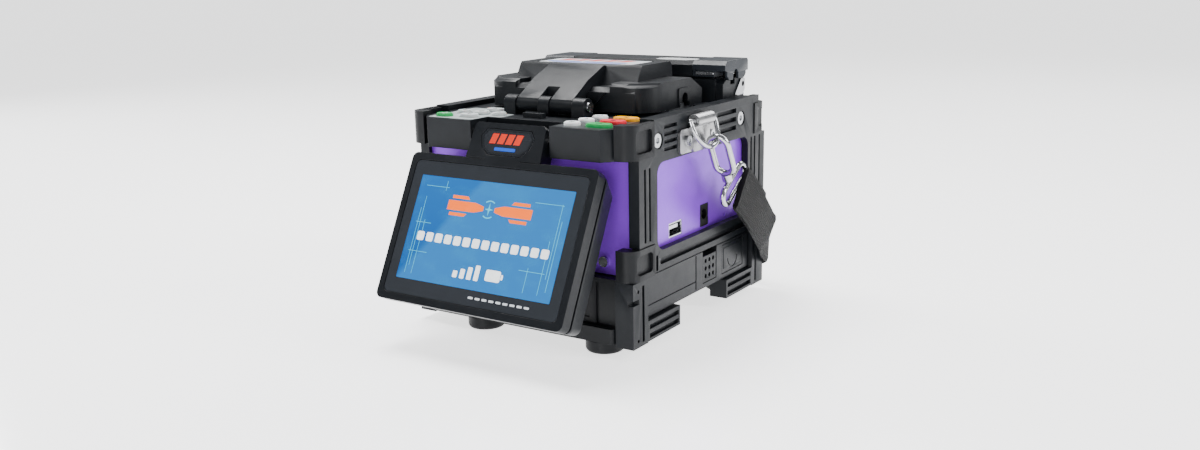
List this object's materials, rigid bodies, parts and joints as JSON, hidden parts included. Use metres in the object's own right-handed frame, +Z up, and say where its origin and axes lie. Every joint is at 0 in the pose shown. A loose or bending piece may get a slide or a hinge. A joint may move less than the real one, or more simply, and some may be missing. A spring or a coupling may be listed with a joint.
{
  "type": "fiber fusion splicer",
  "caption": "Portable fusion splicer with a tilting screen, hinged wind cover, sleeve heater, keypads, bumper guards, slide-out battery and a carrying strap.",
  "frame": {"origin": "on the surface the machine stands on, at the middle of the machine's width and depth without the strap", "axes": "+Z up, +Y from the screen to the heater, +X to the side with the ports and the battery's face"},
  "size_m": [0.17, 0.2235, 0.1361],
  "materials": {
    "charcoal_plastic": "satin, fine moulded grain",
    "shadow_plastic": "satin",
    "dark_rubber": "matt",
    "purple_paint": "satin powder coat",
    "bright_steel": "polished",
    "chrome_fittings": "polished",
    "brass_insert": "machined",
    "grey_legend_sheet": "matt film",
    "circuit_board": "solder mask",
    "amber_potting": "gloss",
    "motor_metal": "machined",
    "black_anodised": "anodised",
    "socket_plastic": "matt",
    "ceramic": "polished ceramic",
    "tungsten": "ground",
    "webbing": "ribbed weave",
    "screen_glass": "gloss",
    "display": "lit",
    "badge_plastic": "gloss",
    "label_film": "gloss film",
    "lamp_plastic": "gloss",
    "clamp_plastic": "satin",
    "clear_window": "gloss",
    "slate_plastic": "satin",
    "battery_plastic": "satin",
    "cell_wrap": "shrink film",
    "green_key": "satin silicone",
    "grey_key": "satin silicone",
    "white_key": "satin silicone",
    "red_key": "satin silicone",
    "amber_key": "satin silicone"
  },
  "bodies": {
    "main_unit": {"deck_cover": "charcoal_plastic", "guard_right": "charcoal_plastic", "guard_left": "charcoal_plastic", "heater_base": "charcoal_plastic", "base_tray": "shadow_plastic", "corner_bumpers": "dark_rubber", "feet": "dark_rubber", "front_panel": "purple_paint", "rear_panel": "purple_paint", "side_panel_right": "purple_paint", "side_panel_left": "purple_paint", "guard_screws": "bright_steel", "panel_screws": "bright_steel", "usb_socket": "bright_steel", "hinge_pins": "bright_steel", "strap_brackets": "chrome_fittings", "d_rings": "chrome_fittings", "snap_hooks": "chrome_fittings", "tripod_insert": "brass_insert", "keypad_sheets": "grey_legend_sheet", "main_board": "circuit_board", "arc_transformer": "amber_potting", "align_motors": "motor_metal", "splice_block": "motor_metal", "heater_plate": "motor_metal", "camera_barrels": "black_anodised", "electrode_clamps": "black_anodised", "power_socket": "socket_plastic", "v_grooves": "ceramic", "electrodes": "tungsten", "strap": "webbing"},
    "screen": {"screen_bezel": "charcoal_plastic", "screen_shell": "charcoal_plastic", "screen_glass": "screen_glass", "lcd_panel": "display", "screen_badge": "badge_plastic"},
    "cover": {"wind_cover": "charcoal_plastic", "cover_label": "label_film", "cover_lamp": "lamp_plastic"},
    "clamp_right": {"sheath_clamp_right": "clamp_plastic"},
    "clamp_left": {"sheath_clamp_left": "clamp_plastic"},
    "lid": {"heater_lid": "charcoal_plastic", "heater_window": "clear_window", "heater_caps": "slate_plastic"},
    "battery": {"battery_case": "battery_plastic", "battery_cells": "cell_wrap"},
    "battery_release": {"release_button": "charcoal_plastic"},
    "battery_latch": {"latch_slider": "charcoal_plastic"},
    "key_power_body": {"key_power": "green_key"},
    "key_up_body": {"key_up": "grey_key"},
    "key_down_body": {"key_down": "grey_key"},
    "key_left_body": {"key_left": "grey_key"},
    "key_right_body": {"key_right": "grey_key"},
    "key_enter_body": {"key_enter": "grey_key"},
    "key_menu_body": {"key_menu": "white_key"},
    "key_back_body": {"key_back": "white_key"},
    "key_reset_body": {"key_reset": "white_key"},
    "key_arc_body": {"key_arc": "green_key"},
    "key_stop_body": {"key_stop": "red_key"},
    "key_heat_body": {"key_heat": "amber_key"}
  },
  "joints": [
    {"name": "screen_tilt", "type": "hinge", "parent": "main_unit", "child": "screen", "pos_m": [0, -0.04922, 0.10468], "axis": [-1, 0, 0], "range_deg": [-8, 100]},
    {"name": "cover_open", "type": "hinge", "parent": "main_unit", "child": "cover", "pos_m": [0, -0.021, 0.1175], "axis": [1, 0, 0], "range_deg": [0, 95]},
    {"name": "clamp_right_lift", "type": "hinge", "parent": "main_unit", "child": "clamp_right", "pos_m": [0.0445, 0.0434, 0.1152], "axis": [-1, 0, 0], "range_deg": [0, 95]},
    {"name": "clamp_left_lift", "type": "hinge", "parent": "main_unit", "child": "clamp_left", "pos_m": [-0.0445, 0.0434, 0.1152], "axis": [-1, 0, 0], "range_deg": [0, 95]},
    {"name": "lid_open", "type": "hinge", "parent": "main_unit", "child": "lid", "pos_m": [0, 0.086, 0.1244], "axis": [-1, 0, 0], "range_deg": [0, 82]},
    {"name": "battery_slide", "type": "slide", "parent": "main_unit", "child": "battery", "axis": [1, 0, 0], "range_m": [0, 0.118], "deforming": ["strap"]},
    {"name": "release_press", "type": "slide", "parent": "battery", "child": "battery_release", "axis": [-1, 0, 0], "range_m": [0, 0.0015], "stiffness_N_per_m": 500},
    {"name": "latch_slide", "type": "slide", "parent": "battery", "child": "battery_latch", "axis": [0, 0, 1], "range_m": [0, 0.003], "stiffness_N_per_m": 400},
    {"name": "key_power_press", "type": "slide", "parent": "main_unit", "child": "key_power_body", "axis": [0, 0, -1], "range_m": [0, 0.0008], "stiffness_N_per_m": 500},
    {"name": "key_up_press", "type": "slide", "parent": "main_unit", "child": "key_up_body", "axis": [0, 0, -1], "range_m": [0, 0.0008], "stiffness_N_per_m": 500},
    {"name": "key_down_press", "type": "slide", "parent": "main_unit", "child": "key_down_body", "axis": [0, 0, -1], "range_m": [0, 0.0008], "stiffness_N_per_m": 500},
    {"name": "key_left_press", "type": "slide", "parent": "main_unit", "child": "key_left_body", "axis": [0, 0, -1], "range_m": [0, 0.0008], "stiffness_N_per_m": 500},
    {"name": "key_right_press", "type": "slide", "parent": "main_unit", "child": "key_right_body", "axis": [0, 0, -1], "range_m": [0, 0.0008], "stiffness_N_per_m": 500},
    {"name": "key_enter_press", "type": "slide", "parent": "main_unit", "child": "key_enter_body", "axis": [0, 0, -1], "range_m": [0, 0.0008], "stiffness_N_per_m": 500},
    {"name": "key_menu_press", "type": "slide", "parent": "main_unit", "child": "key_menu_body", "axis": [0, 0, -1], "range_m": [0, 0.0008], "stiffness_N_per_m": 500},
    {"name": "key_back_press", "type": "slide", "parent": "main_unit", "child": "key_back_body", "axis": [0, 0, -1], "range_m": [0, 0.0008], "stiffness_N_per_m": 500},
    {"name": "key_reset_press", "type": "slide", "parent": "main_unit", "child": "key_reset_body", "axis": [0, 0, -1], "range_m": [0, 0.0008], "stiffness_N_per_m": 500},
    {"name": "key_arc_press", "type": "slide", "parent": "main_unit", "child": "key_arc_body", "axis": [0, 0, -1], "range_m": [0, 0.0008], "stiffness_N_per_m": 500},
    {"name": "key_stop_press", "type": "slide", "parent": "main_unit", "child": "key_stop_body", "axis": [0, 0, -1], "range_m": [0, 0.0008], "stiffness_N_per_m": 500},
    {"name": "key_heat_press", "type": "slide", "parent": "main_unit", "child": "key_heat_body", "axis": [0, 0, -1], "range_m": [0, 0.0008], "stiffness_N_per_m": 500}
  ],
  "couplings": [
    {"joint": "clamp_right_lift", "follows": "cover_open", "ratio": 1},
    {"joint": "clamp_left_lift", "follows": "cover_open", "ratio": 1}
  ]
}
